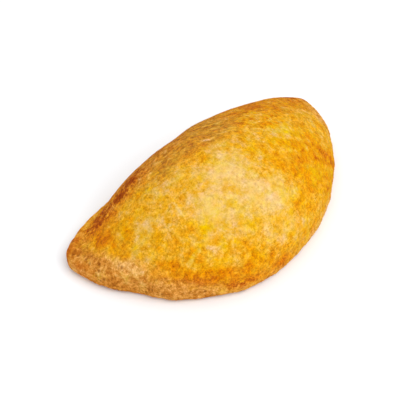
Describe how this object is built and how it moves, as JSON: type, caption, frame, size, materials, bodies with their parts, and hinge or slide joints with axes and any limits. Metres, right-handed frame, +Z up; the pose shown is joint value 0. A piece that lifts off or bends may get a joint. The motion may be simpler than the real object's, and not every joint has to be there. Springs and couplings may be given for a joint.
{
  "type": "cheese pie",
  "caption": "Whole half-moon hand pie of egg-washed shortcrust folded over a cheese filling, with a domed golden top, a steep fold side, a slim tip and a flat base to rest on.",
  "frame": {"origin": "middle of the bounding box, on the flat base", "axes": "+X along the length towards the broad corner, +Y towards the fold, +Z up; the slim tip points to -X and the round sealed edge to -Y"},
  "size_m": [0.136, 0.0748, 0.0374],
  "materials": {
    "crust": "baked shortcrust with a satin egg wash on top, dull and unglazed at the edge and underneath"
  },
  "bodies": {
    "root": {"pastry": "crust"}
  },
  "joints": []
}
